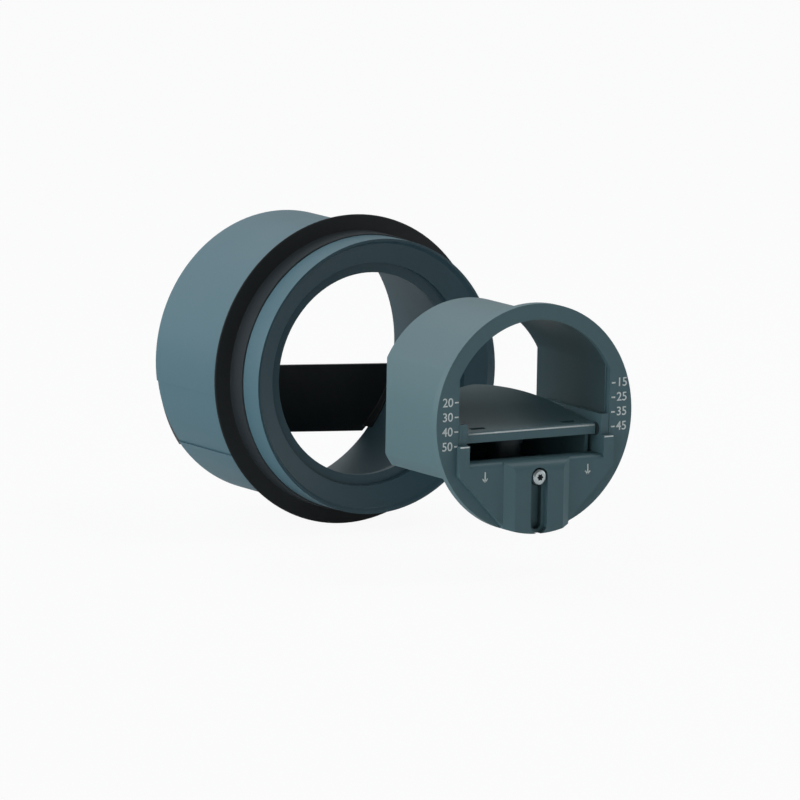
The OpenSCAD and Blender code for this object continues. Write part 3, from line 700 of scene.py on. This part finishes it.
class REGULATOR_OT_studio(bpy.types.Operator):
    """Add the pale floor, the soft lights, the lamp above and the camera"""

    bl_idname = "regulator.studio"
    bl_label = "Studio"

    def execute(self, context):
        self.floor()
        self.world(context.scene)
        self.top_lamp(context.scene)
        self.camera(context.scene)
        context.scene.view_settings.view_transform = "Standard"
        return {"FINISHED"}

    def floor(self):
        """A wide pale floor under the seal, which keeps the object's shadow."""
        work = bmesh.new()
        bmesh.ops.create_grid(work, x_segments=1, y_segments=1, size=FLOOR_HALF_W)
        bmesh.ops.translate(work, vec=(0, 0, FLOOR_Z), verts=work.verts)
        mesh = bpy.data.meshes.new("studio_floor")
        work.to_mesh(mesh)
        work.free()
        piece = bpy.data.objects.new("studio_floor", mesh)
        bpy.context.scene.collection.objects.link(piece)
        material, tree, output = new_material("studio_paper")
        paper = add_node(tree, "ShaderNodeBsdfDiffuse",
                         {"Color": bpy.context.scene.regulator_colours.floor})
        glow = add_node(tree, "ShaderNodeEmission", {"Color": WHITE, "Strength": 1.0})
        share = self.backdrop_share(tree, FLOOR_SHARE)
        mixed = add_node(tree, "ShaderNodeMixShader", None,
                         {"Fac": share, 1: paper.outputs["BSDF"], 2: glow.outputs["Emission"]})
        tree.links.new(mixed.outputs["Shader"], output.inputs["Surface"])
        mesh.materials.append(material)

    def backdrop_share(self, tree, seen):
        """How much of the white backdrop a ray meets: the camera most, gloss and glass a little."""
        path = add_node(tree, "ShaderNodeLightPath")
        gloss = add_node(tree, "ShaderNodeMath", None,
                         {0: path.outputs["Is Glossy Ray"], 1: path.outputs["Is Transmission Ray"]},
                         operation="MAXIMUM")
        faint = add_node(tree, "ShaderNodeMath", {1: GLOSS_SHARE}, {0: gloss.outputs["Value"]},
                         operation="MULTIPLY")
        direct = add_node(tree, "ShaderNodeMath", {1: seen}, {0: path.outputs["Is Camera Ray"]},
                          operation="MULTIPLY")
        return add_node(tree, "ShaderNodeMath", None,
                        {0: faint.outputs["Value"], 1: direct.outputs["Value"]},
                        operation="MAXIMUM").outputs["Value"]

    def world(self, scene):
        """A white backdrop for the camera, and soft light from the sides, from behind and from above."""
        world = bpy.data.worlds.new("studio_sky")
        world.use_nodes = True
        scene.world = world
        tree = world.node_tree
        tree.nodes.clear()
        toward = add_node(tree, "ShaderNodeTexCoord").outputs["Generated"]
        total = None
        for direction, strength in SOFT_LIGHTS:
            facing = add_node(tree, "ShaderNodeVectorMath", {1: Vector(direction).normalized()},
                              {0: toward}, operation="DOT_PRODUCT")
            ahead = add_node(tree, "ShaderNodeMath", {1: 0.0}, {0: facing.outputs["Value"]},
                             operation="MAXIMUM")
            spread = add_node(tree, "ShaderNodeMath", {1: LIGHT_FOCUS}, {0: ahead.outputs["Value"]},
                              operation="POWER")
            total = add_node(tree, "ShaderNodeMath", {1: strength, 2: 0.0},
                             {0: spread.outputs["Value"]} | ({2: total} if total else {}),
                             operation="MULTIPLY_ADD").outputs["Value"]
        sky = add_node(tree, "ShaderNodeBackground", {"Color": (*LIGHT_TINT, 1)}, {"Strength": total})
        backdrop = add_node(tree, "ShaderNodeBackground", {"Color": WHITE, "Strength": 1.0})
        mixed = add_node(tree, "ShaderNodeMixShader", None,
                         {"Fac": self.backdrop_share(tree, SKY_SHARE), 1: sky.outputs["Background"],
                          2: backdrop.outputs["Background"]})
        output = add_node(tree, "ShaderNodeOutputWorld")
        tree.links.new(mixed.outputs["Shader"], output.inputs["Surface"])

    def top_lamp(self, scene):
        """A smaller lamp above, which draws the bright line along each upper front edge."""
        soft_box = bpy.data.lights.new("top_lamp", "AREA")
        soft_box.size = LAMP_W
        soft_box.energy = LAMP_POWER
        soft_box.color = LIGHT_TINT
        lamp = bpy.data.objects.new("top_lamp", soft_box)
        scene.collection.objects.link(lamp)
        aim = Vector((0, PLATE_FACE_Y, 0))
        lamp.location = aim + Vector(LAMP_OFFSET)
        lamp.rotation_mode = "QUATERNION"
        lamp.rotation_quaternion = (aim - lamp.location).to_track_quat("-Z", "Y")

    def camera(self, scene):
        """The photograph's view: its place, its long lens, and the object's slight lean."""
        yaw, pitch, roll = (math.radians(angle) for angle in CAMERA_DEGREES)
        level = math.cos(pitch)
        ahead = Vector((math.sin(yaw) * level, math.cos(yaw) * level, math.sin(pitch)))
        right = Vector((math.cos(yaw), -math.sin(yaw), 0))
        up = right.cross(ahead)
        turned_right = right * math.cos(roll) + up * math.sin(roll)
        turned_up = up * math.cos(roll) - right * math.sin(roll)
        camera = bpy.data.cameras.new("photo_camera")
        camera.lens = CAMERA_LENS
        camera.sensor_width = CAMERA_SENSOR
        holder = bpy.data.objects.new("photo_camera", camera)
        scene.collection.objects.link(holder)
        turn = Matrix((turned_right, turned_up, -ahead)).transposed().to_4x4()
        lean = Matrix.Rotation(math.radians(OBJECT_LEAN), 4, "Y")
        holder.matrix_world = lean @ Matrix.Translation(CAMERA_PLACE) @ turn
        scene.camera = holder


class REGULATOR_PT_panel(bpy.types.Panel):
    """The sidebar panel that lists every piece"""

    bl_idname = "REGULATOR_PT_panel"
    bl_label = "Airflow Regulator"
    bl_space_type = "VIEW_3D"
    bl_region_type = "UI"
    bl_category = "Regulator"

    def draw(self, context):
        for group in (context.scene.regulator_sizes, context.scene.regulator_colours):
            for name in group.__annotations__:
                self.layout.prop(group, name)
        for operator in OPERATORS:
            self.layout.operator(operator.bl_idname)


OPERATORS = (
    REGULATOR_OT_sleeve_body,
    REGULATOR_OT_lip_seal,
    REGULATOR_OT_rear_strap,
    REGULATOR_OT_module_shells,
    REGULATOR_OT_slider,
    REGULATOR_OT_blade,
    REGULATOR_OT_damper,
    REGULATOR_OT_scale,
    REGULATOR_OT_studio,
)
CLASSES = (RegulatorSizes, RegulatorColours, *OPERATORS, REGULATOR_PT_panel)


def register():
    for kind in CLASSES:
        bpy.utils.register_class(kind)
    bpy.types.Scene.regulator_sizes = PointerProperty(type=RegulatorSizes)
    bpy.types.Scene.regulator_colours = PointerProperty(type=RegulatorColours)


def unregister():
    del bpy.types.Scene.regulator_colours
    del bpy.types.Scene.regulator_sizes
    for kind in reversed(CLASSES):
        bpy.utils.unregister_class(kind)


def main():
    register()
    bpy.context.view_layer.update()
    for operator in OPERATORS:
        group, name = operator.bl_idname.split(".")
        getattr(getattr(bpy.ops, group), name)()


if __name__ == "__main__":
    main()
